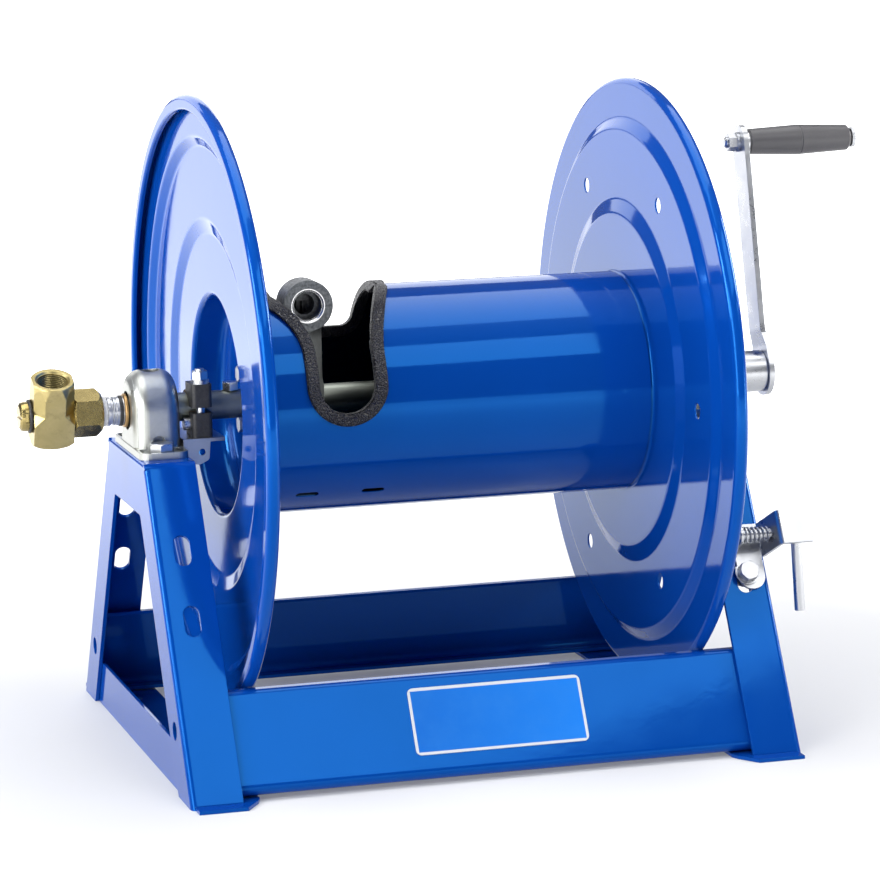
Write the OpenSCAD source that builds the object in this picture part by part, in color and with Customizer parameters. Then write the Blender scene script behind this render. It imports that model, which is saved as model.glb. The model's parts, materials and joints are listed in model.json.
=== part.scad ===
// Hand-crank hose reel for a fire point. Millimetres, +Z up, +X from inlet to crank, -Y front.

/* [Reel] */
// Height of the axle centre above the floor
axle_h = 302.9; // [250:0.1:350]
// Outside diameter of the axle tube
axle_d = 25.4; // [20:0.1:40]
// Outside diameter of the side discs
disc_d = 546; // [400:1:700]
// Outside diameter of the drum
drum_d = 198; // [150:1:260]
// Distance of the inlet side rim from the middle
rim_left = 204.9; // [150:0.1:260]
// Distance of the crank side rim from the middle
rim_right = 200.9; // [150:0.1:260]
// Thickness of the disc and drum sheet
sheet_t = 1.6; // [1:0.1:3]
// Radius of the circle of lock holes in the discs
lock_circle = 194; // [150:1:250]
// Number of lock holes in each disc
lock_holes = 6; // [3:1:12]
// Radius of a lock hole
lock_hole_r = 7; // [5:0.1:9]

/* [Cut-out] */
// Distance of the cut-out centre from the middle, towards the inlet
cut_x = 95.3; // [60:1:130]
// Half width of the cut-out at the front
cut_half = 30.5; // [25:1:45]
// Depth of the rubber trim to each side of the edge
trim_w = 5.5; // [2:0.5:6]

/* [Frame] */
// Distance of the outer flange face from the middle
frame_x = 272.4; // [230:0.1:320]
// Width of the leg web along the axle
web_w = 45; // [35:1:60]
// Half length of the end frame at the floor
foot_y = 229.5; // [180:0.5:280]
// Half length of the end frame at the top
top_y = 77; // [50:0.5:110]
// Height of the end frame
frame_h = 267.3; // [220:0.1:320]
// Thickness of the frame sheet
frame_t = 3.5; // [2.5:0.1:5]
// Thickness of the foot plate
plate_t = 3; // [2:0.1:5]
// Width of the mounting slots in the foot plates
slot_w = 11; // [9:0.5:14]
// Length of the mounting slots in the foot plates
slot_l = 20; // [12:1:30]
// Half spacing of the mounting slots along the axle
slot_x = 240; // [225:1:255]
// Half spacing of the mounting slots front to back
slot_y = 165; // [120:1:190]

/* [Crank] */
// Distance from the axle centre to the grip centre
crank_r = 212.4; // [150:1:260]
// Lean of the crank arm towards the back
crank_lean = 13.6; // [-180:0.1:180]
// Length of the grip
grip_l = 101; // [80:1:130]
// Largest diameter of the grip
grip_d = 27.8; // [22:0.1:36]

/* [Ports] */
// Radius of the thread in the inlet and outlet ports
port_r = 12.6; // [8:0.1:18]
// Length of the thread in the inlet port
port_l = 17; // [10:1:25]
// Tilt of the inlet port towards the front
port_tilt = 22; // [0:1:90]

/* [Fits] */
// Radial clearance of turning and sliding fits
run = 0.05; // [0.01:0.01:0.1]

/* [Hidden] */
$fn = 64;

axle_r = axle_d / 2;
disc_r = disc_d / 2;
drum_r = drum_d / 2;
half_t = sheet_t / 2;
bore_r = 8;
lean = atan((foot_y - top_y) / frame_h);
web_in = frame_x - web_w;
web_mid = 249.4;
leg_flange = 43.4;
top_flange = 48;
hole_z = -11;
flat_z = -15.5;
band_z = -5;
floor_z = -46;
bowl_r = drum_r - sheet_t - half_t;
lip_r = 4;
drum_left = rim_left + flat_z - lip_r;
drum_right = rim_right + flat_z - lip_r;
riser_x = -112;
riser_z = axle_h + 87;
pin_s = 197.7;
pin_off = 20;
pin_r = 4.75;
pin_y = -foot_y + pin_s * sin(lean) - pin_off * cos(lean);
pin_z = pin_s * cos(lean) + pin_off * sin(lean);
pin_tip = rim_right + hole_z + half_t + 1.3;
rod_x = 298.3;
rod_drop = 72;
hub_x = 284;
arm_x = 324;
arm_t = 5;
arm_step = 3;
grip_x = 330.4;
nipple_x = -289;
spindle_x = -293.5;
hex_l = 25;
elbow_x = -337.3;

// ---- drawing helpers ----
function unit(v) = v / norm(v);
function corner(a, b, c, r, n) =
  let (p = unit(a - b), q = unit(c - b), h = acos(p * q) / 2, m = b + unit(p + q) * r / sin(h))
  let (s = b + p * r / tan(h) - m, e = b + q * r / tan(h) - m)
  let (a0 = atan2(s[1], s[0]), d = (atan2(e[1], e[0]) - a0 + 540) % 360 - 180)
  [for (i = [0:n]) m + r * [cos(a0 + d * i / n), sin(a0 + d * i / n)]];
function rounded(p, r, n = 6) = [for (i = [0:len(p) - 1])
  let (k = is_list(r) ? r[i] : r, c = len(p))
  each k <= 0 ? [p[i]] : corner(p[(i + c - 1) % c], p[i], p[(i + 1) % c], k, n)];
function bent(p, r, n = 6) = [for (i = [0:len(p) - 1])
  each (i == 0 || i == len(p) - 1) ? [p[i]] : corner(p[i - 1], p[i], p[i + 1], is_list(r) ? r[i] : r, n)];
function side(q, d) = [for (i = [0:len(q) - 1])
  let (t = unit(q[min(i + 1, len(q) - 1)] - q[max(i - 1, 0)])) q[i] + d * [-t[1], t[0]]];
function back(q) = [for (i = [len(q) - 1:-1:0]) q[i]];

module sheet(p, r, t, n = 6) {
  q = bent(p, r, n);
  polygon(concat(side(q, t / 2), back(side(q, -t / 2))));
}

// children drawn in Y and Z, pushed along +X
module along_x(x0, x1) {
  translate([x0, 0, 0])
    rotate([90, 0, 90])
      linear_extrude(x1 - x0)
        children();
}

// solid of revolution about the axle, children drawn as radius and X
module turned() {
  translate([0, 0, axle_h])
    rotate([0, 90, 0])
      rotate_extrude($fn = 128)
        children();
}

module band(r0, r1, x0, x1) {
  turned()
    translate([r0, x0])
      square([r1 - r0, x1 - x0]);
}

module rod_x(r, x0, x1, y = 0, z = axle_h) {
  translate([x0, y, z])
    rotate([0, 90, 0])
      cylinder(r = r, h = x1 - x0);
}

module hex_z(af, h) {
  cylinder(d = af / cos(30), h = h, $fn = 6);
}

module hex_x(af, x0, x1, y, z, turn = 0) {
  translate([x0, y, z])
    rotate([0, 90, 0])
      rotate([0, 0, turn])
        cylinder(d = af / cos(30), h = x1 - x0, $fn = 6);
}

module both_ways() {
  children();
  mirror([0, 1, 0])
    children();
}

module left() {
  mirror([1, 0, 0])
    children();
}

// frame of the front leg: X, depth behind the web face, distance up the leg
module on_leg() {
  translate([0, -foot_y, 0])
    rotate([-lean, 0, 0])
      children();
}

// ---- frame ----
module a_shape(inset_side, inset_top, r) {
  w = inset_side / cos(lean);
  k = tan(lean);
  polygon(rounded([[-foot_y + w, 0], [foot_y - w, 0],
    [foot_y - w - (frame_h - inset_top) * k, frame_h - inset_top],
    [-foot_y + w + (frame_h - inset_top) * k, frame_h - inset_top]], [0, 0, r, r]));
}

module edge_round(r, l) {
  difference() {
    translate([-r, -1, -1])
      cube([r + 1, r + 1, l + 2]);
    translate([-r, r, -2])
      cylinder(r = r, h = l + 4);
  }
}

module end_frame() {
  slot_s = [228, 164.5];
  difference() {
    union() {
      along_x(web_in, frame_x)
        difference() {
          a_shape(0, 0, 8);
          a_shape(frame_t, frame_t, 5);
        }
      along_x(frame_x - frame_t, frame_x)
        difference() {
          a_shape(0, 0, 8);
          a_shape(leg_flange, top_flange, 6);
        }
    }
    translate([0, -300, -1])
      cube([frame_x - frame_t - 0.1, 600, plate_t + 1]);
    both_ways() {
      translate([frame_x, 0, 0])
        on_leg()
          edge_round(5, 302);
      on_leg()
        for (s = slot_s)
          translate([web_mid, -1, s])
            rotate([-90, 0, 0])
              linear_extrude(frame_t + 2)
                union() {
                  translate([0, 6.7])
                    circle(7);
                  translate([0, -6.7])
                    circle(7);
                  square([14, 13.4], center = true);
                }
      translate([web_mid, -46, frame_h - 10])
        cylinder(r = 6.5, h = 20);
      translate([frame_x - 10, -171.5, 55])
        rotate([0, 90, 0])
          cylinder(r = 8, h = 20);
    }
    translate([frame_x, top_y - 4, frame_h])
      rotate([90, 0, 0])
        mirror([0, 1, 0])
          edge_round(5, 2 * top_y - 8);
  }
}

module left_end_frame() {
  color([0.02, 0.16, 0.62])
    left()
      end_frame();
}

module right_end_frame() {
  color([0.02, 0.16, 0.62])
    end_frame();
}

module cross_member() {
  out_x = frame_x - frame_t - 0.2;
  w = foot_y - 6.1;
  difference() {
    union() {
      along_x(out_x - plate_t, out_x)
        polygon([[-w, plate_t], [w, plate_t], [w - 38 * tan(lean), 41], [-w + 38 * tan(lean), 41]]);
      linear_extrude(plate_t)
        polygon([[out_x, -243.5], [out_x, 243.5], [227, 243.5], [214, 224.5], [211, 217],
          [211, -217], [214, -224.5], [227, -243.5]]);
    }
    for (y = [-slot_y, slot_y])
      translate([slot_x, y, -1])
        linear_extrude(plate_t + 2)
          union() {
            for (d = [-1, 1])
              translate([d * (slot_l - slot_w) / 2, 0])
                circle(d = slot_w);
            square([slot_l - slot_w, slot_w], center = true);
          }
  }
}

module left_cross_member() {
  color([0.02, 0.16, 0.62])
    left()
      cross_member();
}

module right_cross_member() {
  color([0.02, 0.16, 0.62])
    cross_member();
}

module rail() {
  face = frame_t + 0.2;
  s1 = 97;
  y0 = -foot_y + face / cos(lean);
  z0 = plate_t + 1;
  z1 = s1 * cos(lean);
  mid = 1.5;
  p0 = [y0 + (z0 + mid) * tan(lean) + mid / cos(lean), z0 + mid];
  p1 = [y0 + z1 * tan(lean) + mid / cos(lean), z1];
  along_x(-262, 262)
    sheet([p0 + [24, 0], p0, p1, p1 + [9.5, 0]], 5.5, 3, 8);
}

module front_rail() {
  color([0.02, 0.16, 0.62])
    rail();
}

module rear_rail() {
  color([0.02, 0.16, 0.62])
    mirror([0, 1, 0])
      rail();
}

module data_plate() {
  color([0.55, 0.75, 0.92])
    on_leg()
      translate([5.5, frame_t + 0.18, 60.7])
        rotate([90, 0, 0])
          linear_extrude(0.7)
            polygon(rounded([[-77.5, -29.7], [77.5, -29.7], [77.5, 29.7], [-77.5, 29.7]], 5));
}

// ---- bearings, drawn for the crank side ----
house_r = 35;
house_w = 21;
house_t = 2.5;
foot_l = 60;

module dome_half(r, w, c, t0) {
  intersection() {
    translate([web_mid, 0, 0])
      turned()
        polygon(rounded([[0, -w], [r, -w], [r, w], [0, w]], [0, c, c, 0], 10));
    translate([0, -100, axle_h])
      cube([400, 200, 100]);
  }
  translate([web_mid, 0, frame_h + t0])
    linear_extrude(axle_h - frame_h - t0)
      polygon(rounded([[-w, -r], [w, -r], [w, r], [-w, r]], c, 10));
}

module bearing_housing() {
  difference() {
    union() {
      dome_half(house_r, house_w, 13, 0);
      translate([web_mid, 0, frame_h])
        linear_extrude(6)
          polygon(rounded([[-21.6, -foot_l], [21.6, -foot_l], [21.6, foot_l], [-21.6, foot_l]], 9));
    }
    difference() {
      dome_half(house_r - house_t, house_w - house_t, 10.5, -1);
      difference() {
        band(26.02, 40, web_mid - 6, web_mid + 6);
        translate([0, -100, frame_h - 2])
          cube([400, 200, 12]);
      }
    }
    for (d = [-1, 1])
      translate([web_mid, d * 46.5, frame_h + house_t])
        linear_extrude(6)
          polygon(rounded([[-19, -11.4], [19, -11.4], [19, 11.4], [-19, 11.4]], 6));
    for (d = [-1, 1])
      translate([web_mid, d * 46, frame_h - 5])
        cylinder(r = 6.3, h = 20);
    band(0, 14.5, 0, web_mid);
    translate([web_mid + house_w - house_t - 1, -100, frame_h + 6])
      cube([20, 200, 100]);
    translate([web_mid, 0, axle_h + 20])
      cylinder(r = 9, h = 30);
    for (d = [-1, 1])
      translate([web_mid, d * 35 + 5, frame_h + 11.5])
        rotate([90, 0, 0])
          cylinder(r = 5.2, h = 10);
  }
}

module left_bearing_housing() {
  color([0.72, 0.73, 0.72])
    left()
      bearing_housing();
}

module right_bearing_housing() {
  color([0.72, 0.73, 0.72])
    bearing_housing();
}

module bearing_cover() {
  x0 = web_mid + house_w - house_t - 1;
  difference() {
    intersection() {
      difference() {
        dome_half(house_r, house_w, 13, 6);
        dome_half(house_r - house_t, house_w - house_t, 10.5, 4);
      }
      translate([x0, -100, frame_h + 6])
        cube([20, 200, 100]);
    }
    band(0, 17, web_mid, web_mid + 40);
    for (a = [45, 135])
      translate([x0 - 5, 27 * cos(a), axle_h + 27 * sin(a)])
        rotate([0, 90, 0])
          cylinder(r = 1.6, h = 20);
  }
}

module left_bearing_cover() {
  color([0.74, 0.75, 0.74])
    left()
      bearing_cover();
}

module right_bearing_cover() {
  color([0.74, 0.75, 0.74])
    bearing_cover();
}

ball_r = 3.5;
ball_path = 19.25;
ball_n = 10;

module outer_race() {
  translate([web_mid, 0, 0])
    turned()
      difference() {
        translate([21.4, -7])
          square([4.6, 14]);
        translate([ball_path, 0])
          circle(ball_r + run);
      }
}

module inner_race() {
  translate([web_mid, 0, 0])
    difference() {
      turned()
        difference() {
          union() {
            translate([axle_r + 0.02, -7])
              square([17.1 - axle_r - 0.02, 14]);
            translate([axle_r + 0.02, -17])
              square([4.6, 11]);
          }
          translate([ball_path, 0])
            circle(ball_r + run);
        }
      for (a = [0, 120])
        translate([-12.5, 0, axle_h])
          rotate([a, 0, 0])
            cylinder(r = 2.5, h = 30);
    }
}

module balls() {
  translate([web_mid, 0, axle_h])
    for (i = [0:ball_n - 1])
      rotate([i * 360 / ball_n, 0, 0])
        translate([0, ball_path, 0])
          sphere(ball_r);
}

module ball_cage() {
  translate([web_mid, 0, 0])
    difference() {
      turned()
        translate([18.4, -5])
          square([1.8, 10]);
      translate([0, 0, axle_h])
        for (i = [0:ball_n - 1])
          rotate([i * 360 / ball_n - 90, 0, 0])
            cylinder(r = ball_r + run, h = 40);
    }
}

module pair() {
  children();
  left()
    children();
}

module bearing_outer_races() {
  color([0.62, 0.63, 0.65])
    pair()
      outer_race();
}

module bearing_inner_races() {
  color([0.62, 0.63, 0.65])
    pair()
      inner_race();
}

module bearing_balls() {
  color([0.8, 0.8, 0.82])
    pair()
      balls();
}

module ball_cages() {
  color([0.7, 0.55, 0.25])
    pair()
      ball_cage();
}

module at_bearing_bolts() {
  for (x = [-web_mid, web_mid])
    for (y = [-46, 46])
      translate([x, y, frame_h])
        children();
}

module bearing_bolts() {
  color([0.75, 0.76, 0.76])
    at_bearing_bolts() {
      translate([0, 0, 4.6])
        intersection() {
          rotate([0, 0, 12])
            hex_z(19, 8);
          cylinder(r1 = 16, r2 = 9.6, h = 8);
        }
      translate([0, 0, -20])
        cylinder(r = 6, h = 25);
    }
}

module bearing_washers() {
  color([0.75, 0.76, 0.76])
    at_bearing_bolts()
      for (z = [house_t, -frame_t - 2])
        translate([0, 0, z])
          difference() {
            cylinder(r = z > 0 ? 10.6 : 12, h = z > 0 ? 2.05 : 2);
            translate([0, 0, -1])
              cylinder(r = 6.2, h = 5);
          }
}

module bearing_nuts() {
  color([0.75, 0.76, 0.76])
    at_bearing_bolts()
      translate([0, 0, -15])
        difference() {
          hex_z(19, 9.5);
          translate([0, 0, -1])
            cylinder(r = 6.02, h = 12);
        }
}

// ---- drag brake ----
brake_x = -208.7;
brake_w = 18.5;
brake_y = 28;
brake_bolt_y = 20.5;
brake_z0 = 279;
brake_gap = 5;

module brake_bracket() {
  color([0.7, 0.71, 0.68])
    difference() {
      union() {
        translate([-web_in, -32, brake_z0 - 3])
          cube([web_in - 190, 64, 3]);
        translate([-web_in, -32, 258])
          cube([3, 64, 20]);
        for (y = [-29, 32])
          translate([0, y, 0])
            rotate([90, 0, 0])
              linear_extrude(3)
                polygon(rounded([[-web_in, 278], [-web_in, 258], [-213, 256], [-204.5, 260],
                  [-203, 278]], [0, 0, 3, 4, 0], 4));
      }
      translate([brake_x, -brake_bolt_y, 270])
        cylinder(r = 4.3, h = 20);
      translate([-210.5, -40, 267])
        rotate([-90, 0, 0])
          cylinder(r = 3, h = 80);
    }
}

module brake_block(z0, z1) {
  difference() {
    translate([brake_x, 0, z0])
      linear_extrude(z1 - z0)
        polygon(rounded([[-brake_w / 2, -brake_y], [brake_w / 2, -brake_y],
          [brake_w / 2, -2], [-brake_w / 2, -2]], [4, 4, 1, 1], 6));
    rod_x(15.2, -230, -190);
    translate([brake_x, -brake_bolt_y, z0 - 1])
      cylinder(r = 4.2, h = z1 - z0 + 2);
  }
}

module brake_lower_block() {
  color([0.05, 0.05, 0.055])
    difference() {
      brake_block(brake_z0, axle_h - brake_gap / 2);
      rod_x(3, -230, brake_x - 5, -16, 290);
    }
}

module brake_upper_block() {
  color([0.05, 0.05, 0.055])
    brake_block(axle_h + brake_gap / 2, 326);
}

module brake_band() {
  color([0.22, 0.16, 0.1])
    difference() {
      band(axle_r + run, 15.2, brake_x - brake_w / 2 + 0.5, brake_x + brake_w / 2 - 0.5);
      translate([-230, -30, axle_h - brake_gap / 2])
        cube([40, 30, brake_gap]);
    }
}

module at_brake_bolt() {
  translate([brake_x, -brake_bolt_y, 0])
    children();
}

module brake_bolt() {
  color([0.76, 0.77, 0.77])
    at_brake_bolt() {
      translate([0, 0, brake_z0 - 8.5])
        hex_z(13, 5.5);
      translate([0, 0, brake_z0 - 4])
        cylinder(r = 4, h = 64);
    }
}

module brake_spring_washers() {
  color([0.6, 0.6, 0.6])
    at_brake_bolt()
      for (k = [0:2])
        translate([0, 0, 326 + 1.2 * k])
          difference() {
            cylinder(r = 7.8, h = 1.1);
            translate([0, 0, -1])
              cylinder(r = 4.2, h = 4);
          }
}

module brake_nut() {
  color([0.76, 0.77, 0.77])
    at_brake_bolt()
      translate([0, 0, 329.6])
        difference() {
          intersection() {
            rotate([0, 0, 20])
              hex_z(13, 7.5);
            cylinder(r1 = 11, r2 = 6.6, h = 7.5);
          }
          translate([0, 0, -1])
            cylinder(r = 4.02, h = 10);
        }
}

module brake_side_screw() {
  color([0.76, 0.77, 0.77]) {
    rod_x(3, -223.4, brake_x - 5.5, -16, 290);
    rod_x(5.5, -223.4, brake_x - brake_w / 2 - 0.05, -16, 290);
  }
}

// ---- reel ----
module axle() {
  color([0.5, 0.52, 0.54])
    difference() {
      rod_x(axle_r, -271.5, arm_x);
      rod_x(bore_r, -272, riser_x + 12);
      rod_x(10, -272, -255);
      translate([riser_x, 0, axle_h])
        cylinder(r = bore_r, h = 20);
      translate([-177, 0, axle_h + 9.5])
        cylinder(r = 3.98, h = 10);
    }
}

module riser() {
  eye_y = -30;
  color([0.33, 0.34, 0.33])
    difference() {
      union() {
        translate([riser_x, 0, axle_h])
          cylinder(r = 18.5, h = 73);
        translate([riser_x, 0, axle_h + 73])
          sphere(18.5);
        translate([riser_x, eye_y, riser_z])
          rotate([-90, 0, 0])
            cylinder(r = 22.5, h = 27);
        translate([riser_x, eye_y + 27, riser_z])
          rotate([-90, 0, 0])
            cylinder(r1 = 22.5, r2 = 12, h = 8);
        translate([riser_x, 0, axle_h])
          cylinder(r1 = 22, r2 = 18, h = 22);
      }
      rod_x(axle_r + 0.01, -150, -80);
      translate([riser_x, 0, axle_h])
        cylinder(r = 7, h = 88);
      translate([riser_x, eye_y - 1, riser_z])
        rotate([-90, 0, 0]) {
          cylinder(r = 9.2, h = 32);
          cylinder(r = port_r, h = 15);
          cylinder(r1 = port_r + 2.6, r2 = port_r, h = 3);
        }
    }
}

// Half width of the cut-out where it crosses the top of the drum
flare_half = 55.5;

module flare(side, r, z, d) {
  difference() {
    translate([side > 0 ? -cut_x : -cut_x - flare_half - min(d, 2), z])
      square([flare_half + min(d, 2), axle_h + drum_r + 10 - z]);
    translate([-cut_x + side * (r + cut_half), z])
      circle(r - d);
  }
}

module front_profile(d) {
  translate([-cut_x, axle_h + 26])
    circle(cut_half + d);
  translate([-cut_x - cut_half - d, axle_h + 26])
    square([2 * (cut_half + d), 29.01]);
  flare(-1, 50, axle_h + 51, d);
  flare(1, 60, axle_h + 50, d);
}

module back_profile(d) {
  r = 15;
  for (k = [-1, 1])
    translate([-cut_x + k * (flare_half - r), axle_h + 47 + r])
      circle(r + d);
  translate([-cut_x - flare_half + r, axle_h + 47 - d])
    square([2 * (flare_half - r), 62]);
  translate([-cut_x - flare_half - d, axle_h + 47 + r])
    square([2 * (flare_half + d), 47]);
}

module cut_tool(d) {
  rotate([90, 0, 0])
    linear_extrude(150)
      front_profile(d);
  rotate([90, 0, 0])
    translate([0, 0, -150])
      linear_extrude(150.01)
        back_profile(d);
}

module drum_wall() {
  difference() {
    band(drum_r - sheet_t, drum_r, -drum_left, drum_right);
    cut_tool(0);
  }
}

module drum() {
  color([0.01, 0.17, 0.63])
    difference() {
      drum_wall();
      for (x = [-126, -66.4])
        translate([x, 0, axle_h])
          rotate([48, 0, 0])
            rotate([90, 0, 0])
              translate([0, 0, drum_r - 10])
                linear_extrude(20)
                  union() {
                    for (k = [-7, 7])
                      translate([k, 0])
                        circle(3.2);
                    square([14, 6.4], center = true);
                  }
    }
}

module trim_layer(w, grow) {
  difference() {
    intersection() {
      band(drum_r - sheet_t - 2 - grow, drum_r + 2.2 + grow, -175, 0);
      cut_tool(w);
    }
    cut_tool(-w);
  }
}

// keeps the trim at one width where its right edge runs up over the drum
module trim_limits() {
  top_z = axle_h + 60;
  front_y = -110;
  flat_y = -12;
  translate([-200, front_y, 0])
    cube([220, -2 * front_y, top_z]);
  translate([-200, flat_y, top_z - 1])
    cube([220, 120, 60]);
  translate([-200, front_y, top_z - 1])
    cube([105, -front_y, 60]);
  translate([0, 0, top_z - 1])
    linear_extrude(60)
      sheet([[-66, -95], [-62, -72], [-41, -14], [-40, 10]], [0, 30, 12, 0], 2 * trim_w + 1);
}

module cutout_trim() {
  color([0.07, 0.07, 0.07])
    difference() {
      intersection() {
        union() {
          trim_layer(trim_w, 0);
          trim_layer(trim_w - 1, 1);
        }
        trim_limits();
      }
      drum_wall();
    }
}

module disc_sheet() {
  difference() {
    translate([0, 0, axle_h])
      rotate([0, 90, 0])
        rotate_extrude($fn = 180)
          sheet([[14, floor_z], [bowl_r, floor_z], [bowl_r, flat_z], [151, flat_z], [165, hole_z],
            [228, hole_z], [237, band_z], [disc_r - half_t, band_z], [disc_r - half_t, 5.2],
            [260.5, 5.2], [260.5, 1.5]],
            [0, 10, lip_r, 12, 12, 7, 7, 4.5, 4.2, 1.8, 0], sheet_t, 8);
    for (a = [45:90:315])
      translate([floor_z - 10, 32 * cos(a), axle_h + 32 * sin(a)])
        rotate([0, 90, 0])
          cylinder(r = 4.3, h = 20);
  }
}

module left_disc() {
  color([0.01, 0.19, 0.68])
    left()
      translate([rim_left, 0, 0])
        disc_sheet();
}

module right_disc() {
  color([0.01, 0.19, 0.68])
    translate([rim_right, 0, 0])
      difference() {
        disc_sheet();
        translate([0, 0, axle_h])
          for (i = [0:lock_holes - 1])
            rotate([i * 360 / lock_holes, 0, 0])
              translate([hole_z - 10, lock_circle, 0])
                rotate([0, 90, 0])
                  cylinder(r = lock_hole_r, h = 20);
      }
}

module hub_flange() {
  difference() {
    union() {
      band(axle_r + 0.01, 44, floor_z - half_t - 6, floor_z - half_t);
      band(axle_r + 0.01, 19, floor_z - half_t - 24, floor_z - half_t);
    }
    for (a = [45:90:315])
      rod_x(4.02, floor_z - 15, floor_z, 32 * cos(a), axle_h + 32 * sin(a));
  }
}

module left_hub_flange() {
  color([0.4, 0.41, 0.42])
    left()
      translate([rim_left, 0, 0])
        hub_flange();
}

module right_hub_flange() {
  color([0.4, 0.41, 0.42])
    translate([rim_right, 0, 0])
      hub_flange();
}

module at_hub_bolts() {
  left()
    translate([rim_left, 0, 0])
      for (a = [45:90:315])
        translate([0, 32 * cos(a), axle_h + 32 * sin(a)])
          children();
  translate([rim_right, 0, 0])
    for (a = [45:90:315])
      translate([0, 32 * cos(a), axle_h + 32 * sin(a)])
        children();
}

module hub_bolts() {
  color([0.75, 0.76, 0.77])
    at_hub_bolts() {
      hex_x(13, floor_z + half_t, floor_z + half_t + 5.5, 0, 0);
      rod_x(4, floor_z - 9, floor_z + half_t + 1, 0, 0);
    }
}

module axle_lock_screw() {
  color([0.78, 0.79, 0.79])
    translate([-177, 0, axle_h]) {
      translate([0, 0, 9.7])
        cylinder(r = 3.95, h = 5);
      translate([0, 0, axle_r + 0.1])
        rotate([0, 0, 15])
          hex_z(13, 7);
    }
}

// ---- end rings on the axle ----
module left_seal_ring() {
  color([0.06, 0.06, 0.06])
    translate([-278.3, 0, 0])
      turned()
        polygon(rounded([[axle_r + 0.02, 0], [13.6, 0], [13.6, 3.2], [axle_r + 0.02, 3.2]],
          [0, 0.6, 0.6, 0]));
}

module thrust_ring() {
  turned()
    polygon(rounded([[axle_r + 0.02, 270.7], [14.9, 270.7], [14.9, 274.2], [axle_r + 0.02, 274.2]],
      [0, 1, 1.4, 0]));
}

module thrust_rings() {
  color([0.72, 0.5, 0.22])
    pair()
      thrust_ring();
}

// ---- crank ----
module on_arm() {
  translate([0, 0, axle_h])
    rotate([-crank_lean, 0, 0])
      children();
}

module crank_hub() {
  color([0.78, 0.78, 0.76])
    difference() {
      turned()
        polygon(rounded([[axle_r + 0.01, hub_x], [19, hub_x], [19, arm_x], [axle_r + 0.01, arm_x]],
          [0, 1, 1, 0]));
      on_arm()
        translate([hub_x + 12, 0, 0])
          rotate([90, 0, 0])
            cylinder(r = 4.02, h = 30);
    }
}

module crank_set_screw() {
  color([0.3, 0.3, 0.3])
    on_arm()
      translate([hub_x + 12, -axle_r - 0.1, 0])
        rotate([90, 0, 0])
          difference() {
            cylinder(r = 4, h = 6);
            translate([0, 0, 3])
              hex_z(4, 5);
          }
}

module arm_outline() {
  circle(22.5);
  translate([-14.2, 0])
    square([28.4, crank_r]);
  translate([0, crank_r])
    circle(15.5);
  polygon([[-14.2, 50], [14.2, 50], [15.5, crank_r], [-15.5, crank_r]]);
  polygon([[-22.4, 2], [22.4, 2], [14.2, 34], [-14.2, 34]]);
}

module crank_arm() {
  m = arm_x + arm_t / 2;
  color([0.8, 0.8, 0.8])
    on_arm()
      difference() {
        intersection() {
          rotate([90, 0, 0])
            translate([0, 0, -30])
              linear_extrude(60)
                sheet([[m, -30], [m, 23], [m - arm_step, 38], [m - arm_step, 240]],
                  [0, 20, 20, 0], arm_t, 8);
          along_x(300, 350)
            arm_outline();
        }
        translate([300, 0, crank_r])
          rotate([0, 90, 0])
            cylinder(r = 5.02, h = 40);
      }
}

module at_grip() {
  on_arm()
    translate([0, 0, crank_r])
      rotate([0, 90, 0])
        children();
}

module grip_bolt() {
  inner = arm_x - arm_step;
  color([0.78, 0.79, 0.8])
    at_grip() {
      translate([0, 0, inner - 12.5])
        cylinder(r = 5, h = grip_x + grip_l + 0.2 - inner + 12.5);
      translate([0, 0, inner - 14])
        cylinder(r1 = 3.6, r2 = 5, h = 1.5);
      translate([0, 0, grip_x + grip_l + 0.2])
        for (k = [0:2])
          rotate([0, 0, k * 10])
            cylinder(r = 9.2, h = 3.2, $fn = 12);
    }
}

module grip_nut() {
  inner = arm_x - arm_step;
  color([0.78, 0.79, 0.8])
    at_grip()
      translate([0, 0, inner - 11])
        difference() {
          union() {
            rotate([0, 0, 10])
              hex_z(14.6, 9);
            translate([0, 0, 8])
              cylinder(r = 9, h = 2.95);
          }
          translate([0, 0, -1])
            cylinder(r = 5.02, h = 14);
        }
}

module grip_spacer() {
  color([0.78, 0.79, 0.8])
    at_grip()
      translate([0, 0, arm_x - arm_step + arm_t + 0.05])
        difference() {
          cylinder(r = 9.5, h = grip_x - arm_x + arm_step - arm_t - 0.15);
          translate([0, 0, -1])
            cylinder(r = 5.02, h = 8);
        }
}

module grip() {
  r = grip_d / 2;
  color([0.13, 0.12, 0.12])
    at_grip()
      translate([0, 0, grip_x])
        rotate_extrude($fn = 96)
          polygon([[7, 0], [10.9, 0], [11.7, 0.8], [r, 49], [r - 0.6, 49.6], [r - 0.1, 50.2],
            [11.7, 97], [7.6, grip_l], [7, grip_l]]);
}

module grip_bushes() {
  color([0.72, 0.55, 0.3])
    at_grip()
      for (z = [grip_x, grip_x + grip_l - 18])
        translate([0, 0, z])
          difference() {
            cylinder(r = 6.99, h = 18);
            translate([0, 0, -1])
              cylinder(r = 5 + run, h = 20);
          }
}

// ---- swivel ----
module swivel_nipple() {
  color([0.68, 0.7, 0.7])
    turned()
      polygon([[bore_r, -302], [9.95, -302], [9.95, nipple_x], [12.4, nipple_x], [12.9, -288.5],
        [12.9, -286], [11.3, -285.4], [11.3, -284.2], [12.9, -283.6], [12.9, -282.6], [12, -282.2],
        [12, -281.2], [12.9, -280.8], [12.9, -278.4], [axle_r, -278.35], [axle_r, -271.55],
        [9.95, -271.55], [9.95, -256], [bore_r, -256]]);
}

module sealing_washer() {
  color([0.9, 0.91, 0.93])
    turned()
      polygon(rounded([[10, spindle_x + 0.05], [13, spindle_x + 0.05], [13, nipple_x - 0.05],
        [10, nipple_x - 0.05]], [0, 0.8, 0.8, 0]));
}

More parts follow.
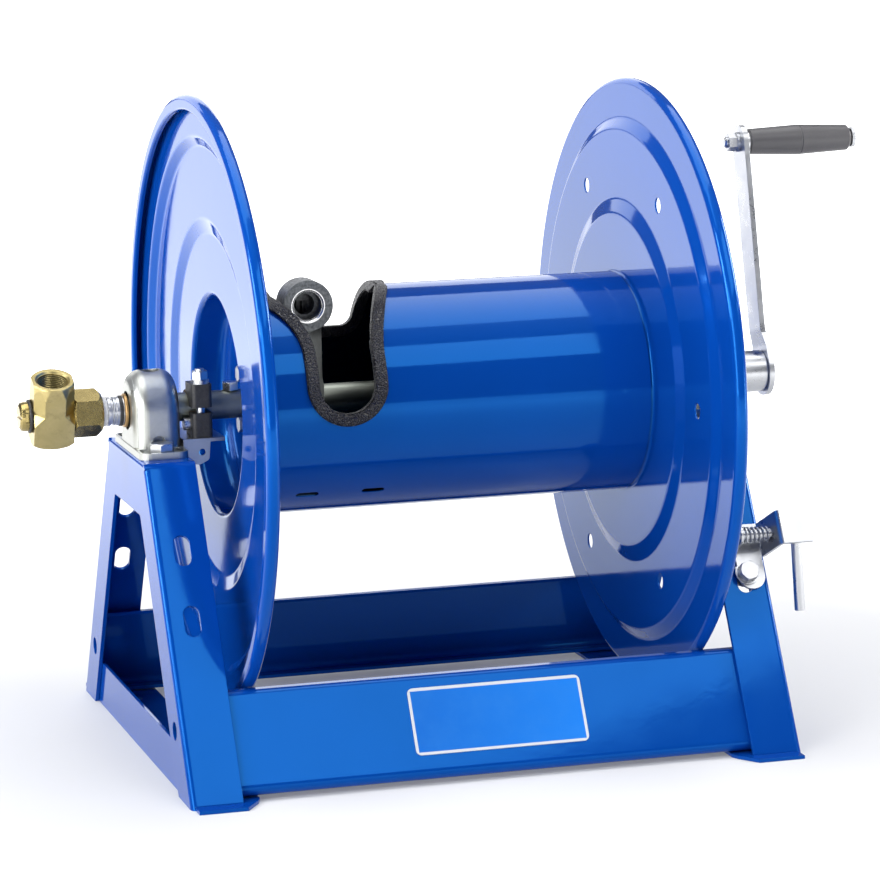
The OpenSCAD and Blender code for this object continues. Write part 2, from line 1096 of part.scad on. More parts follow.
module swivel_spindle() {
  color([0.72, 0.6, 0.32])
    difference() {
      union() {
        intersection() {
          hex_x(36.6, spindle_x - hex_l, spindle_x, 0, axle_h, -7);
          turned()
            polygon([[0, spindle_x - hex_l], [19.2, spindle_x - hex_l], [21.6, spindle_x - hex_l + 1.6],
              [21.6, spindle_x - 5.5], [16.5, spindle_x], [0, spindle_x]]);
        }
        difference() {
          band(bore_r, 13, -333, spindle_x - hex_l + 1);
          for (x = [-323.4, -327.6])
            turned()
              translate([11, x])
                square([5, 2.4]);
          turned()
            translate([11.4, -331.5])
              square([5, 1.4]);
        }
        band(bore_r, 15.5, spindle_x - hex_l - 0.8, spindle_x - hex_l + 0.5);
      }
      rod_x(10, -304, -290);
      rod_x(bore_r, -340, -290);
    }
}

module spindle_o_rings() {
  color([0.05, 0.05, 0.05])
    for (x = [-323.4, -327.6])
      translate([x + 0.1, 0, 0])
        turned()
          polygon(rounded([[11.02, 0], [13, 0], [13, 2.2], [11.02, 2.2]], [0, 0.8, 0.8, 0]));
}

module spindle_clip() {
  color([0.35, 0.35, 0.36])
    difference() {
      band(11.42, 14.2, -331.45, -330.2);
      translate([-335, -2, axle_h])
        cube([6, 4, 20]);
    }
}

elbow_l = -355;
elbow_r = -319.6;

module at_elbow() {
  translate([elbow_x, 0, axle_h])
    rotate([port_tilt, 0, 0])
      children();
}

module elbow_chamfers() {
  for (a = [45:90:315])
    rotate([0, 0, a])
      rotate([90, 0, 0])
        translate([0, 0, -30])
          linear_extrude(60)
            polygon([[19.7, 8], [19.7, 60], [40, 60], [40, -22]]);
}

module swivel_elbow() {
  w = (elbow_r - elbow_l) / 2;
  color([0.74, 0.62, 0.34])
    difference() {
      at_elbow()
        difference() {
          intersection() {
            translate([-w, -18.8, -24])
              cube([2 * w, 37.6, 59.4]);
            translate([0, 0, -24])
              rotate_extrude($fn = 96)
                polygon([[0, 0], [18.4, 0], [22.5, 2], [25.9, 5.5], [25.9, 44], [20.6, 50],
                  [19.4, 58.6], [18.6, 59.4], [0, 59.4]]);
          }
          elbow_chamfers();
        }
      rod_x(13 + run, -335, elbow_r + 3);
      rod_x(14.6, -350, -330);
      rod_x(10.9, elbow_l - 1, -349);
      at_elbow() {
        translate([0, 0, 35.4 - port_l])
          cylinder(r = port_r, h = port_l + 1);
        translate([0, 0, 35.4 - 2.6])
          cylinder(r1 = port_r, r2 = 15.6, h = 3);
        cylinder(r = 8.5, h = 30);
      }
    }
}

module swivel_end_cap() {
  color([0.76, 0.64, 0.35])
    difference() {
      turned()
        polygon([[0, -366], [9.5, -366], [12.2, -364.4], [13, -361.6], [13, -358.3], [10.88, -358.3],
          [10.88, -350.5], [0, -350.5]]);
      translate([-361.6, -20, axle_h - 4])
        cube([4, 10, 8]);
      translate([-367, -20, axle_h - 1.2])
        cube([2.2, 40, 2.4]);
    }
}

module end_cap_ring() {
  color([0.05, 0.05, 0.05])
    turned()
      polygon(rounded([[10.9, -358.25], [14.8, -358.25], [14.8, -355.05], [10.9, -355.05]],
        [0, 1.5, 1.5, 0]));
}

// ---- pin lock on the crank side front leg ----
lock_t = 3;
lock_bx = 251.5;
lock_bs = 167.6;
tab_x = 277;
tab_y = -36;
lock_s0 = 182;
lock_s1 = 213;

module lock_bracket() {
  color([0.78, 0.79, 0.8])
    on_leg()
      difference() {
        union() {
          translate([0, -0.05, 0])
            rotate([90, 0, 0])
              linear_extrude(lock_t)
                polygon(rounded([[244, 153], [268.5, 153], [268.5, lock_s1], [244, lock_s1]],
                  [12, 12, 0, 4]));
          translate([0, 0, lock_s0])
            linear_extrude(lock_s1 - lock_s0)
              sheet([[262, -0.05 - lock_t / 2], [270.6, -0.05 - lock_t / 2], [tab_x, tab_y],
                [300, tab_y]], [0, 3, 3, 0], lock_t);
          translate([0, tab_y + lock_t / 2, 0])
            rotate([90, 0, 0])
              linear_extrude(lock_t)
                polygon(rounded([[290, lock_s0], [306, lock_s0], [310.5, lock_s0 + 5],
                  [305, lock_s0 + 14], [305, lock_s1], [290, lock_s1]], [0, 2, 2, 2, 4, 0], 4));
          translate([244, 0, 0])
            rotate([90, 0, 90])
              linear_extrude(2.5)
                union() {
                  translate([-pin_off, pin_s])
                    circle(8);
                  translate([-pin_off, pin_s - 8])
                    square([pin_off - 0.1, 16]);
                }
        }
        translate([230, -pin_off, pin_s])
          rotate([0, 90, 0])
            cylinder(r = pin_r + run, h = 60);
        translate([lock_bx, 1, lock_bs])
          rotate([90, 0, 0])
            cylinder(r = 4.3, h = 6);
      }
}

module at_lock_bolt() {
  on_leg()
    translate([lock_bx, 0, lock_bs])
      rotate([90, 0, 0])
        children();
}

module lock_fasteners() {
  color([0.8, 0.81, 0.82])
    at_lock_bolt() {
      translate([0, 0, 6.4])
        intersection() {
          rotate([0, 0, 14])
            hex_z(16, 6.4);
          cylinder(r1 = 13, r2 = 8.2, h = 6.4);
        }
      translate([0, 0, -16])
        cylinder(r = 4, h = 23);
      for (w = [[3.1, 10.8, 1.8], [4.95, 8, 1.4], [-frame_t - 2.05, 10, 2]])
        translate([0, 0, w[0]])
          difference() {
            cylinder(r = w[1], h = w[2]);
            translate([0, 0, -1])
              cylinder(r = 4.2, h = 4);
          }
      translate([0, 0, -frame_t - 9])
        difference() {
          hex_z(13, 6.8);
          translate([0, 0, -1])
            cylinder(r = 4.02, h = 10);
        }
    }
}

module lock_rod() {
  bend_r = 9;
  lean_out = 3.5;
  swell = 0.02;
  sink = 0.3;
  x0 = rod_x - bend_r;
  z0 = pin_z - bend_r;
  color([0.72, 0.73, 0.75])
    difference() {
      union() {
        rod_x(pin_r, pin_tip + 1.5, x0 + sink, pin_y, pin_z);
        translate([pin_tip, pin_y, pin_z])
          rotate([0, 90, 0])
            cylinder(r1 = pin_r - 1.2, r2 = pin_r, h = 1.5);
        translate([x0, pin_y, z0])
          rotate([90, 0, 0])
            rotate([0, 0, lean_out])
              rotate_extrude(angle = 90 - lean_out)
                translate([bend_r, 0])
                  circle(pin_r + swell);
        translate([x0 + bend_r * cos(lean_out), pin_y, z0 + bend_r * sin(lean_out)])
          rotate([0, 180 - lean_out, 0])
            translate([0, 0, -sink])
              cylinder(r = pin_r, h = rod_drop - bend_r + sink);
      }
      translate([248.4, pin_y, pin_z - 12])
        cylinder(r = 1.02, h = 24);
    }
}

module lock_washer() {
  color([0.2, 0.2, 0.2])
    translate([249.45, pin_y, pin_z])
      rotate([0, 90, 0])
        difference() {
          cylinder(r = 7, h = 1.2);
          translate([0, 0, -1])
            cylinder(r = pin_r + 0.02, h = 4);
        }
}

module lock_split_pin() {
  color([0.7, 0.7, 0.72])
    translate([248.4, pin_y, pin_z - 7.2])
      cylinder(r = 1, h = 14.4);
}

module lock_spring() {
  turns = 5;
  wire_r = 0.9;
  coil_r = 6.1;
  x0 = 250.75;
  x1 = 271.2;
  pitch = (x1 - x0) / turns;
  span = wire_r / pitch * 360;
  steps = 3;
  arc = [for (i = [-steps:steps]) i / steps * span];
  rise = [for (a = arc) sqrt(max(0, wire_r * wire_r - pow(pitch * a / 360, 2)))];
  outer = [for (i = [0:2 * steps]) (coil_r + rise[i]) * [cos(arc[i]), sin(arc[i])]];
  inner = [for (i = [2 * steps - 1:-1:1]) (coil_r - rise[i]) * [cos(arc[i]), sin(arc[i])]];
  color([0.72, 0.73, 0.75])
    translate([x0, pin_y, pin_z])
      rotate([0, 90, 0])
        linear_extrude(x1 - x0, twist = -360 * turns, slices = 10 * turns)
          polygon(concat(outer, inner));
}

left_end_frame();
right_end_frame();
left_cross_member();
right_cross_member();
front_rail();
rear_rail();
data_plate();
left_bearing_housing();
right_bearing_housing();
left_bearing_cover();
right_bearing_cover();
bearing_outer_races();
bearing_inner_races();
bearing_balls();
ball_cages();
bearing_bolts();
bearing_washers();
bearing_nuts();
brake_bracket();
brake_lower_block();
brake_upper_block();
brake_band();
brake_bolt();
brake_spring_washers();
brake_nut();
brake_side_screw();
axle();
riser();
drum();
cutout_trim();
left_disc();
right_disc();
left_hub_flange();
right_hub_flange();
hub_bolts();
axle_lock_screw();
left_seal_ring();
thrust_rings();
crank_hub();
crank_arm();
crank_set_screw();
grip_bolt();
grip_nut();
grip_spacer();
grip();
grip_bushes();
swivel_nipple();
sealing_washer();
swivel_spindle();
spindle_o_rings();
spindle_clip();
swivel_elbow();
swivel_end_cap();
end_cap_ring();
lock_bracket();
lock_fasteners();
lock_rod();
lock_washer();
lock_split_pin();
lock_spring();
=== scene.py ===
import json
import math

import bpy
from mathutils import Matrix, Vector


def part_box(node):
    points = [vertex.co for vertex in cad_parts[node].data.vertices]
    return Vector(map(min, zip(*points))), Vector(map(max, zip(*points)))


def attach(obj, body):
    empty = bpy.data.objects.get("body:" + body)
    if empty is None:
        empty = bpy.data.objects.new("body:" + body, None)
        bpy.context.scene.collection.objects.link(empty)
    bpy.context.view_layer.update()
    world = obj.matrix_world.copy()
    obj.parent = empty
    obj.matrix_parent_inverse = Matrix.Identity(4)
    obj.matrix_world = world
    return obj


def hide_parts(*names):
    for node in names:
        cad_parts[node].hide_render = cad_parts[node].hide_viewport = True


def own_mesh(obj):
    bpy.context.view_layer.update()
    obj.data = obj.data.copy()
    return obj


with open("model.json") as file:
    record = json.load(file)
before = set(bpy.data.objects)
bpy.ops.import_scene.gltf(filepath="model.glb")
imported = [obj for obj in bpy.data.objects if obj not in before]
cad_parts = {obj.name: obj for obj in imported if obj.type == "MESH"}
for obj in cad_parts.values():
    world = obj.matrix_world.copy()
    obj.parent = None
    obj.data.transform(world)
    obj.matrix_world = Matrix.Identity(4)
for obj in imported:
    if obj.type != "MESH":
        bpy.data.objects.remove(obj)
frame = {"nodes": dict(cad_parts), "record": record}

nodes = frame["nodes"]
record = frame["record"]
joints = {j["name"]: j for j in record["behaviour"]["joints"]}
mounts = {m["name"]: m for m in record["mounts"]}
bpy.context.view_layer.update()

AXIS_Z = joints["reel_spin"]["pos_m"][2]

# radii, heights and widths in metres that part two finishes on one piece
DRUM_WALL_R = 0.0982
INLET_BORE_R = 0.0134
OUTLET_BORE_R = 0.0130
THREAD_RISE = 0.0009
PORT_FACE_R = 0.0150
PORT_FACE_Y = -0.0262
STEM_LOW_Z = AXIS_Z + 0.055
STEM_HIGH_Z = AXIS_Z + 0.068
PLATE_BORDER = 0.0022

BLUE = (0.0002, 0.046, 0.29)
# painted shade: the near-black blue painted on the inside of the drum
PAINTED_SHADE_BLUE = (0.0001, 0.003, 0.012)
DUST = (0.35, 0.42, 0.55)

# a blue reflection head-on that turns white at grazing angles
ENAMEL_IOR = 2.0
ENAMEL_TINT = (0.03, 0.26, 0.65)

SHARP_ANGLE = 24


# ---------------------------------------------------------------- materials

class Look:
    """A Principled material whose textures sit in the row frame and travel with the piece."""

    def __init__(self, name, edge=0.0):
        self.mat = bpy.data.materials.new(name)
        self.mat.use_nodes = True
        self.tree = self.mat.node_tree
        self.bsdf = self.tree.nodes["Principled BSDF"]
        self.coord = self.add("ShaderNodeTexCoord").outputs["Object"]
        self.normal = None
        if edge:
            node = self.add("ShaderNodeBevel", samples=4)
            node.inputs["Radius"].default_value = edge
            self.normal = node.outputs[0]

    def add(self, kind, **settings):
        node = self.tree.nodes.new(kind)
        for key, value in settings.items():
            setattr(node, key, value)
        return node

    def put(self, socket, value):
        """Links a socket to another node's output, or gives it a number or a colour."""
        if isinstance(value, bpy.types.NodeSocket):
            self.tree.links.new(value, socket)
        elif isinstance(value, (tuple, list)) and len(value) == 3 and len(socket.default_value) == 4:
            socket.default_value = (*value, 1)
        else:
            socket.default_value = value

    def set(self, **values):
        for key, value in values.items():
            self.put(self.bsdf.inputs[key.replace("_", " ")], value)

    def stretch(self, scale):
        node = self.add("ShaderNodeMapping")
        self.put(node.inputs["Vector"], self.coord)
        node.inputs["Scale"].default_value = scale
        return node.outputs[0]

    def noise(self, scale, detail=4.0, rough=0.55, vector=None, twist=0.0):
        node = self.add("ShaderNodeTexNoise")
        self.put(node.inputs["Vector"], vector or self.coord)
        node.inputs["Scale"].default_value = scale
        node.inputs["Detail"].default_value = detail
        node.inputs["Roughness"].default_value = rough
        node.inputs["Distortion"].default_value = twist
        return node.outputs["Fac"]

    def warp(self, amount, scale):
        """The coordinates, pushed about by a noise."""
        swirl = self.add("ShaderNodeTexNoise")
        self.put(swirl.inputs["Vector"], self.coord)
        swirl.inputs["Scale"].default_value = scale
        push = self.add("ShaderNodeVectorMath", operation="MULTIPLY_ADD")
        self.put(push.inputs[0], swirl.outputs["Color"])
        push.inputs[1].default_value = (amount, amount, amount)
        self.put(push.inputs[2], self.coord)
        return push.outputs[0]

    def cells(self, scale, vector=None):
        node = self.add("ShaderNodeTexVoronoi", feature="F1")
        self.put(node.inputs["Vector"], vector or self.coord)
        node.inputs["Scale"].default_value = scale
        return node.outputs["Distance"]

    def sum(self, op, a, b=0.0):
        node = self.add("ShaderNodeMath", operation=op)
        self.put(node.inputs[0], a)
        self.put(node.inputs[1], b)
        return node.outputs[0]

    def squares(self, *parts):
        """The sum of the squares of these values."""
        total = self.sum("POWER", parts[0], 2.0)
        for part in parts[1:]:
            total = self.sum("ADD", total, self.sum("POWER", part, 2.0))
        return total

    def span(self, value, low, high, to_low=0.0, to_high=1.0):
        """Maps low..high to to_low..to_high and holds the value outside."""
        node = self.add("ShaderNodeMapRange")
        self.put(node.inputs["Value"], value)
        node.inputs["From Min"].default_value = low
        node.inputs["From Max"].default_value = high
        node.inputs["To Min"].default_value = to_low
        node.inputs["To Max"].default_value = to_high
        return node.outputs["Result"]

    def mix(self, factor, a, b):
        """Colour a where factor is 0 and colour b where it is 1."""
        node = self.add("ShaderNodeMix", data_type="RGBA")
        self.put(node.inputs["Factor"], factor)
        self.put(node.inputs[6], a)
        self.put(node.inputs[7], b)
        return node.outputs[2]

    def fade(self, factor, a, b):
        """Number a where factor is 0 and number b where it is 1."""
        node = self.add("ShaderNodeMix", data_type="FLOAT")
        self.put(node.inputs["Factor"], factor)
        self.put(node.inputs[2], a)
        self.put(node.inputs[3], b)
        return node.outputs[0]

    def bump(self, height, strength, distance):
        node = self.add("ShaderNodeBump")
        self.put(node.inputs["Height"], height)
        node.inputs["Strength"].default_value = strength
        node.inputs["Distance"].default_value = distance
        if self.normal is not None:
            self.put(node.inputs["Normal"], self.normal)
        self.normal = node.outputs[0]

    def axes(self):
        node = self.add("ShaderNodeSeparateXYZ")
        self.put(node.inputs[0], self.coord)
        return node.outputs

    def done(self):
        if self.normal is not None:
            self.put(self.bsdf.inputs["Normal"], self.normal)
        return self.mat


def scaled(colour, factor):
    return tuple(min(1, c * factor) for c in colour)


def lifted(colour, amount):
    return tuple(min(1, c + amount) for c in colour)


def enamel(name, base, edge=0.0009, hollow=None):
    """Glossy enamel: slow changes of tone, orange peel, fine dust and rubbed patches.
    Nearer to the axle than the radius hollow, it is painted almost black: painted shade inside the
    drum."""
    look = Look(name, edge)
    colour = look.mix(look.noise(5, 3), scaled(base, 0.86), lifted(scaled(base, 1.1), 0.002))
    if hollow:
        # the inside of the drum wall is painted near-black: painted shade
        x, y, z = look.axes()
        radius = look.sum("SQRT", look.squares(y, look.sum("SUBTRACT", z, AXIS_Z)))
        outside = look.span(radius, hollow - 0.0003, hollow + 0.0003)
        colour = look.mix(outside, PAINTED_SHADE_BLUE, colour)
    dust = look.span(look.noise(900, 2, 0.7), 0.68, 0.82)
    patch = look.span(look.noise(14, 5, 0.6), 0.45, 0.75)
    dusty = look.sum("MULTIPLY", look.sum("MULTIPLY", dust, patch), 0.10)
    colour = look.mix(dusty, colour, DUST)
    look.set(Base_Color=colour, IOR=ENAMEL_IOR, Specular_Tint=ENAMEL_TINT)
    look.set(Roughness=look.span(look.noise(30, 4), 0.3, 0.7, 0.05, 0.10))
    look.bump(look.noise(210, 2, 0.5), 0.02, 0.0008)
    look.bump(look.noise(18, 2, 0.5), 0.02, 0.004)
    return look.done()


def plated(name, base, rough, edge=0.0004, cloud=0.12, grain=0.10, brushed=None, stains=0.22):
    """Plated or turned metal: cloudy tone, fine grain and dull fingerprints."""
    look = Look(name, edge)
    tone = look.noise(60, 5, 0.6, twist=0.6)
    colour = look.mix(look.span(tone, 0.3, 0.7), scaled(base, 1 - cloud), base)
    stain = look.span(look.noise(160, 4, 0.7), 0.6, 0.8)
    colour = look.mix(look.sum("MULTIPLY", stain, stains), colour, scaled(base, 0.45))
    look.set(Base_Color=colour, Metallic=1.0)
    vector = look.stretch(brushed) if brushed else None
    fine = look.noise(700, 3, 0.6, vector)
    cloudy = look.span(tone, 0.25, 0.75, rough - 0.06, rough + 0.08)
    look.set(Roughness=look.sum("ADD", cloudy, look.span(fine, 0.3, 0.7, -0.03, 0.03)))
    look.bump(fine, grain, 0.0003)
    return look.done()


def cast(name, base, rough, metallic, speck):
    """Sand-cast metal: granular skin with darker hollows and lighter specks."""
    look = Look(name, 0.0006)
    grain = look.noise(420, 5, 0.62)
    pits = look.cells(294)
    colour = look.mix(look.span(grain, 0.35, 0.65), scaled(base, 0.7), base)
    colour = look.mix(look.span(look.noise(90, 3), 0.55, 0.8, 0, 0.4), colour, speck)
    look.set(Base_Color=colour, Metallic=metallic)
    look.set(Roughness=look.span(grain, 0.3, 0.7, rough + 0.1, rough - 0.08))
    look.bump(look.sum("ADD", grain, look.sum("MULTIPLY", pits, 0.4)), 0.35, 0.0006)
    return look.done()


def moulded(name, base, rough, size, depth):
    """Moulded plastic or rubber with a fine eroded skin."""
    look = Look(name, 0.0005)
    skin = look.noise(size, 3, 0.65)
    colour = look.mix(look.noise(40, 3), scaled(base, 0.8), scaled(base, 1.15))
    wear = look.span(look.noise(130, 5, 0.7), 0.6, 0.78)
    colour = look.mix(look.sum("MULTIPLY", wear, 0.12), colour, lifted(base, 0.18))
    look.set(Base_Color=colour)
    look.set(Roughness=look.span(skin, 0.3, 0.7, rough - 0.06, rough + 0.08))
    look.bump(skin, depth, 0.0004)
    return look.done()


def leathery(name):
    """Extruded edge trim with an embossed leather-like grain."""
    look = Look(name, 0.0006)
    cell = look.cells(620, look.warp(0.0012, 500))
    crease = look.span(cell, 0.2, 0.75, 1, 0)
    fine = look.noise(1700, 4, 0.7)
    # painted shade: the creases between the pebbles are painted darker than the pebble tops
    colour = look.mix(crease, (0.006, 0.005, 0.006), (0.024, 0.021, 0.024))
    colour = look.mix(look.span(look.noise(60, 4), 0.5, 0.8, 0, 0.3), colour, (0.05, 0.044, 0.048))
    look.set(Base_Color=colour, Roughness=look.span(fine, 0.3, 0.7, 0.24, 0.42), Specular_IOR_Level=0.8)
    look.bump(crease, 1.0, 0.0022)
    look.bump(fine, 0.2, 0.0002)
    return look.done()


def port_thread(look, mount, bore_r):
    """A saw-tooth height along a threaded port that stands square to X, and a mask of its bore."""
    px, py, pz = mount["pos_m"]
    axis = mount["axis"]
    x, y, z = look.axes()
    dx, dy, dz = (look.sum("SUBTRACT", a, b) for a, b in ((x, px), (y, py), (z, pz)))
    along = look.sum("ADD", look.sum("MULTIPLY", dy, axis[1]), look.sum("MULTIPLY", dz, axis[2]))
    across = look.sum("SUBTRACT", look.squares(dx, dy, dz), look.sum("POWER", along, 2.0))
    radius = look.sum("SQRT", across)
    thread = look.sum("PINGPONG", along, THREAD_RISE)
    return look.span(thread, 0, THREAD_RISE), look.span(radius, bore_r, bore_r + 0.0002, 1, 0)


def riser_look():
    """Dark boss with a bright port chamfer and a thread, on a column below it painted lighter: painted
    light where the lamps do not reach inside the drum.
    """
    look = Look("Riser casting", 0.0006)
    x, y, z = look.axes()
    px, py, pz = mounts["outlet_port"]["pos_m"]
    dx, dz = look.sum("SUBTRACT", x, px), look.sum("SUBTRACT", z, pz)
    near = look.span(look.sum("SQRT", look.squares(dx, dz)), PORT_FACE_R, PORT_FACE_R + 0.0004, 1, 0)
    front = look.span(y, PORT_FACE_Y, PORT_FACE_Y + 0.0006, 1, 0)
    face = look.sum("MULTIPLY", near, front)
    grain = look.noise(430, 5, 0.62)
    colour = look.mix(look.span(grain, 0.35, 0.65), (0.08, 0.085, 0.09), (0.18, 0.19, 0.20))
    colour = look.mix(face, colour, (0.72, 0.72, 0.72))
    thread, bore = port_thread(look, mounts["outlet_port"], OUTLET_BORE_R)
    # painted shade: the thread valleys inside the bore are painted dark
    thread_shade = look.sum("MULTIPLY", bore, look.span(thread, 0, 1, 0.8, 0.0))
    colour = look.mix(thread_shade, colour, (0.06, 0.06, 0.06))
    # painted light: the column below the boss is painted a lighter grey, as if lit inside the drum
    lit_column = look.span(z, STEM_LOW_Z, STEM_HIGH_Z, 1, 0)
    colour = look.mix(lit_column, colour, look.mix(grain, (0.34, 0.36, 0.35), (0.56, 0.58, 0.56)))
    look.set(Base_Color=colour, Metallic=look.fade(lit_column, 0.85, 0.35))
    rough = look.span(grain, 0.3, 0.7, 0.55, 0.38)
    look.set(Roughness=look.fade(face, rough, 0.22))
    look.bump(grain, 0.25, 0.0005)
    look.bump(look.sum("MULTIPLY", thread, bore), 0.9, 0.0012)
    return look.done()


def elbow_look():
    """Forged brass body; the bore of its inlet port carries a pipe thread."""
    look = Look("Brass elbow body", 0.0011)
    tone = look.noise(45, 5, 0.6, twist=0.5)
    grain = look.noise(420, 4, 0.6)
    colour = look.mix(look.span(tone, 0.3, 0.7), (0.46, 0.37, 0.15), (0.60, 0.49, 0.22))
    tarnish = look.span(look.noise(110, 5, 0.65), 0.55, 0.8, 0, 0.5)
    colour = look.mix(tarnish, colour, (0.30, 0.22, 0.09))
    thread, bore = port_thread(look, mounts["inlet_port"], INLET_BORE_R)
    # painted shade: the thread valleys inside the inlet bore are painted dark
    thread_shade = look.sum("MULTIPLY", bore, look.span(thread, 0, 1, 0.75, 0))
    colour = look.mix(thread_shade, colour, (0.05, 0.04, 0.02))
    look.set(Base_Color=colour, Metallic=1.0)
    cloudy = look.span(tone, 0.25, 0.75, 0.26, 0.38)
    look.set(Roughness=look.sum("ADD", cloudy, look.span(grain, 0.3, 0.7, -0.03, 0.03)))
    look.bump(grain, 0.10, 0.0004)
    look.bump(look.sum("MULTIPLY", thread, bore), 0.9, 0.0012)
    return look.done()


def plate_look():
    """Plain light blue plate with a pale border and no lettering."""
    low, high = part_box("data_plate")
    look = Look("Data plate", 0.0004)
    x, y, z = look.axes()
    cx, hx = (low.x + high.x) / 2, (high.x - low.x) / 2
    cz, hz = (low.z + high.z) / 2, (high.z - low.z) / 2
    dx = look.sum("SUBTRACT", hx, look.sum("ABSOLUTE", look.sum("SUBTRACT", x, cx)))
    dz = look.sum("SUBTRACT", hz, look.sum("ABSOLUTE", look.sum("SUBTRACT", z, cz)))
    field = look.span(look.sum("MINIMUM", dx, dz), PLATE_BORDER, PLATE_BORDER + 0.0004)
    shade = look.mix(look.span(x, low.x, high.x), (0.003, 0.115, 0.50), (0.005, 0.17, 0.66))
    shade = look.mix(look.span(look.noise(60, 4), 0.4, 0.8, 0, 0.12), shade, (0.05, 0.25, 0.62))
    colour = look.mix(field, (0.60, 0.61, 0.63), shade)
    look.set(Base_Color=colour, Roughness=look.span(look.noise(300, 3), 0.3, 0.7, 0.40, 0.50))
    look.set(Specular_Tint=(0.3, 0.6, 0.9))
    look.bump(look.noise(500, 2), 0.05, 0.0003)
    return look.done()


SLOT_LOOKS = {
    "blue_paint": enamel("Blue enamel", BLUE),
    "plate_film": plate_look(),
    "zinc_plate": plated("Zinc plate", (0.58, 0.59, 0.61), 0.30, grain=0.04),
    "bearing_steel": plated("Bearing steel", (0.72, 0.73, 0.75), 0.16, 0.0002, 0.04, 0.03),
    "bright_steel": plated("Bright steel", (0.60, 0.61, 0.62), 0.30, 0.0004, 0.08, 0.0, stains=0.15),
    "black_iron": cast("Black casting", (0.03, 0.03, 0.032), 0.5, 0.1, (0.05, 0.05, 0.055)),
    "friction_lining": moulded("Brake lining", (0.16, 0.11, 0.08), 0.8, 500, 0.6),
    "grey_casting": riser_look(),
    "trim_rubber": leathery("Edge trim rubber"),
    "seal_rubber": moulded("Seal rubber", (0.02, 0.02, 0.02), 0.4, 800, 0.1),
    "bronze": plated("Bronze ring", (0.48, 0.30, 0.13), 0.35),
    "brass": plated("Machined brass", (0.42, 0.33, 0.13), 0.24, 0.0006, 0.12, 0.0, stains=0.25),
    "grip_plastic": moulded("Grip plastic", (0.075, 0.072, 0.076), 0.38, 1300, 0.3),
    "white_nylon": moulded("White nylon", (0.82, 0.81, 0.76), 0.45, 900, 0.1),
}

# pieces whose finish differs from their slot's
OWN_LOOKS = {
    "swivel_elbow": elbow_look(),
    # the drum's enamel carries painted shade on the inside of the drum
    "drum": enamel("Drum enamel", BLUE, hollow=DRUM_WALL_R),
    "left_bearing_housing right_bearing_housing left_bearing_cover right_bearing_cover":
        plated("Pressed zinc", (0.50, 0.51, 0.48), 0.38, 0.0008, 0.14, 0.02),
    "axle": plated("Satin axle", (0.30, 0.32, 0.28), 0.42, 0.0005, 0.14, 0.03, (4, 0.5, 0.5)),
    "brake_bracket": plated("Dull zinc", (0.50, 0.52, 0.53), 0.32, 0.0005, 0.14, 0.03),
}

for part in record["subparts"]:
    mesh = nodes[part["node"]].data
    mesh.materials.clear()
    mesh.materials.append(SLOT_LOOKS[part["material_slot"]])

for names, finish in OWN_LOOKS.items():
    for name in names.split():
        nodes[name].data.materials[0] = finish

for piece in nodes.values():
    mesh = piece.data
    mesh.polygons.foreach_set("use_smooth", [True] * len(mesh.polygons))
    mesh.set_sharp_from_angle(angle=math.radians(SHARP_ANGLE))


# ---------------------------------------------------------------- lock spring

def working_spring():
    """The lock spring: a copy of its mesh rides whole with the lock slide, and the given part is
    hidden.
    """
    given = nodes["lock_spring"]
    spring = bpy.data.objects.new("lock_coil", given.data.copy())
    spring.matrix_world = given.matrix_world
    bpy.context.scene.collection.objects.link(spring)
    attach(spring, "lock_slide")
    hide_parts("lock_spring")
    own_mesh(spring)


working_spring()


# ---------------------------------------------------------------- studio

FLOOR_SIZE = 90
FLOOR_Y = 20.0

# distance from the object in metres, and the strength of the glow there
GLOW_NEAR = (0.6, 0.15)
GLOW_FAR = (2.4, 1.8)

LOW_SKY = (0.16, 0.17, 0.20, 1)
HIGH_SKY = (0.8, 0.82, 0.86, 1)


def studio_floor():
    """Plain pale floor that glows more with distance from the object, like a lit sweep."""
    bpy.ops.mesh.primitive_plane_add(size=FLOOR_SIZE, location=(0, FLOOR_Y, 0))
    plane = bpy.context.object
    plane.name = "studio_floor"
    look = Look("Studio floor")
    x, y, z = look.axes()
    away = look.sum("SQRT", look.squares(x, look.sum("ADD", y, FLOOR_Y)))
    glow = look.span(away, GLOW_NEAR[0], GLOW_FAR[0], GLOW_NEAR[1], GLOW_FAR[1])
    look.set(Base_Color=look.mix(look.noise(0.8, 3), (0.55, 0.55, 0.55), (0.58, 0.58, 0.58)))
    look.set(Roughness=look.span(look.noise(4, 3), 0.3, 0.7, 0.75, 0.85), Specular_IOR_Level=0.1)
    look.set(Emission_Color=(1, 1, 1), Emission_Strength=glow)
    look.bump(look.noise(60, 3), 0.02, 0.002)
    plane.data.materials.append(look.done())


def softbox(name, place, aim, size, power, colour=(1, 1, 1)):
    """A rectangular lamp, sizes in metres and power in watts."""
    light = bpy.data.lights.new(name, "AREA")
    light.shape = "RECTANGLE"
    light.size, light.size_y = size
    light.energy = power
    light.color = colour
    lamp = bpy.data.objects.new(name, light)
    bpy.context.scene.collection.objects.link(lamp)
    lamp.location = place
    lamp.rotation_euler = (Vector(aim) - Vector(place)).to_track_quat("-Z", "Y").to_euler()


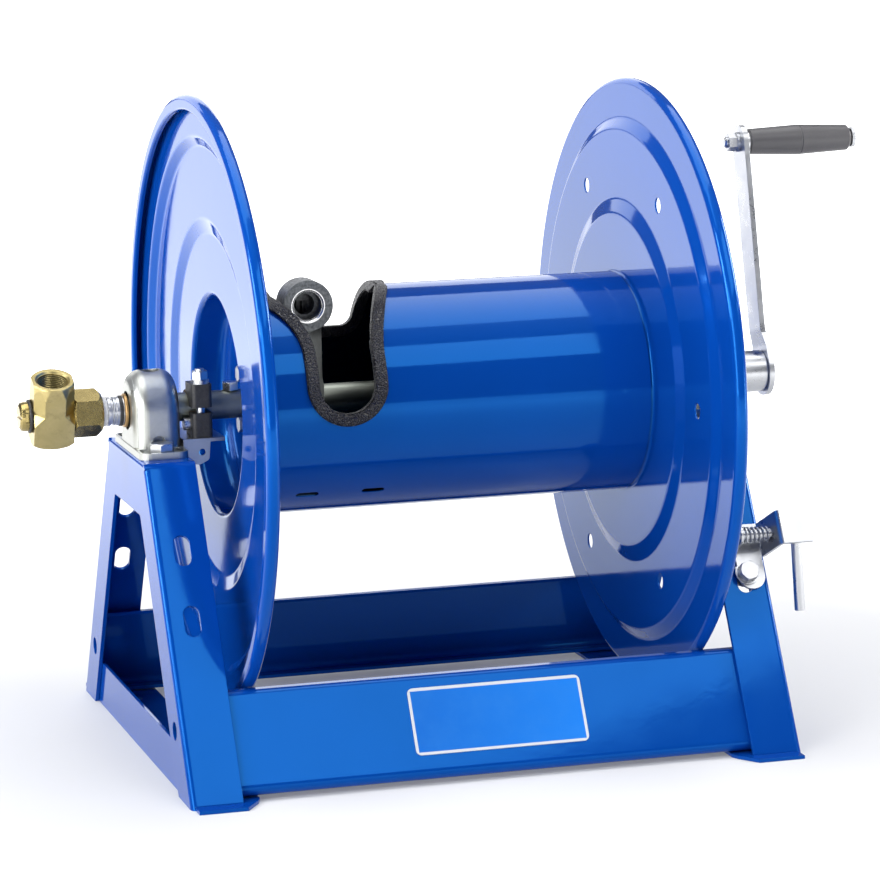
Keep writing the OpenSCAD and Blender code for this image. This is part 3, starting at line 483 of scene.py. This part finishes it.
def studio_world():
    """Dim surroundings, lighter straight above."""
    world = bpy.data.worlds.new("Studio")
    bpy.context.scene.world = world
    world.use_nodes = True
    tree = world.node_tree
    background = tree.nodes["Background"]
    coord = tree.nodes.new("ShaderNodeTexCoord")
    split = tree.nodes.new("ShaderNodeSeparateXYZ")
    rise = tree.nodes.new("ShaderNodeMapRange")
    rise.inputs["From Min"].default_value = 0.75
    rise.inputs["From Max"].default_value = 1.0
    rise.interpolation_type = "SMOOTHSTEP"
    shade = tree.nodes.new("ShaderNodeMix")
    shade.data_type = "RGBA"
    shade.inputs[6].default_value = LOW_SKY
    shade.inputs[7].default_value = HIGH_SKY
    tree.links.new(coord.outputs["Generated"], split.inputs[0])
    tree.links.new(split.outputs["Z"], rise.inputs["Value"])
    tree.links.new(rise.outputs[0], shade.inputs["Factor"])
    tree.links.new(shade.outputs[2], background.inputs["Color"])
    background.inputs["Strength"].default_value = 1.0


studio_floor()

softbox("left_box", (-2.6, -0.1, 1.4), (0, 0, 0.25), (0.9, 1.0), 45, (0.94, 0.96, 1))
softbox("top_box", (-0.1, 0.3, 2.9), (0, 0, 0.2), (3.6, 2.2), 65)
softbox("front_box", (-3.5, -2.6, 1.4), (0, 0, 0.2), (2.5, 2.5), 145)
softbox("back_card", (-0.05, 2.6, 1.25), (0, 0, 0.5), (2.4, 1.2), 16)
softbox("right_strip", (2.4, -2.0, 0.9), (0, 0, 0.3), (0.3, 1.8), 18)
softbox("right_box", (2.7, -0.1, 1.35), (0, 0, 0.25), (0.8, 0.9), 45)
softbox("tab_card", (0.9, -2.0, 2.5), (0, 0, 0.2), (1.7, 1.1), 19)

studio_world()

bpy.context.scene.view_settings.view_transform = "Standard"
bpy.context.scene.view_settings.look = "None"
bpy.context.scene.view_settings.exposure = 0.0


# ---------------------------------------------------------------- camera

# degrees about the object, above the floor and about the line of sight
CAMERA_ANGLES = (-16.33, 9.74, -0.96)
CAMERA_TARGET = Vector((0.015, 0, 0.258))
CAMERA_DISTANCE = 3.322
CAMERA_LENS = 151.2


def place_camera():
    azimuth, elevation, roll = (math.radians(a) for a in CAMERA_ANGLES)
    flat = math.cos(elevation)
    back = Vector((math.sin(azimuth) * flat, -math.cos(azimuth) * flat, math.sin(elevation)))
    ahead = -back
    right = ahead.cross(Vector((0, 0, 1))).normalized()
    up = right.cross(ahead)
    c, s = math.cos(roll), math.sin(roll)
    right, up = c * right + s * up, -s * right + c * up
    lens = bpy.data.cameras.new("camera")
    lens.sensor_width = 36
    lens.lens = CAMERA_LENS
    lens.clip_end = 200
    camera = bpy.data.objects.new("camera", lens)
    bpy.context.scene.collection.objects.link(camera)
    turn = Matrix((right, up, back)).transposed().to_4x4()
    turn.translation = CAMERA_TARGET + back * CAMERA_DISTANCE
    camera.matrix_world = turn
    bpy.context.scene.camera = camera


place_camera()

bpy.context.view_layer.update()
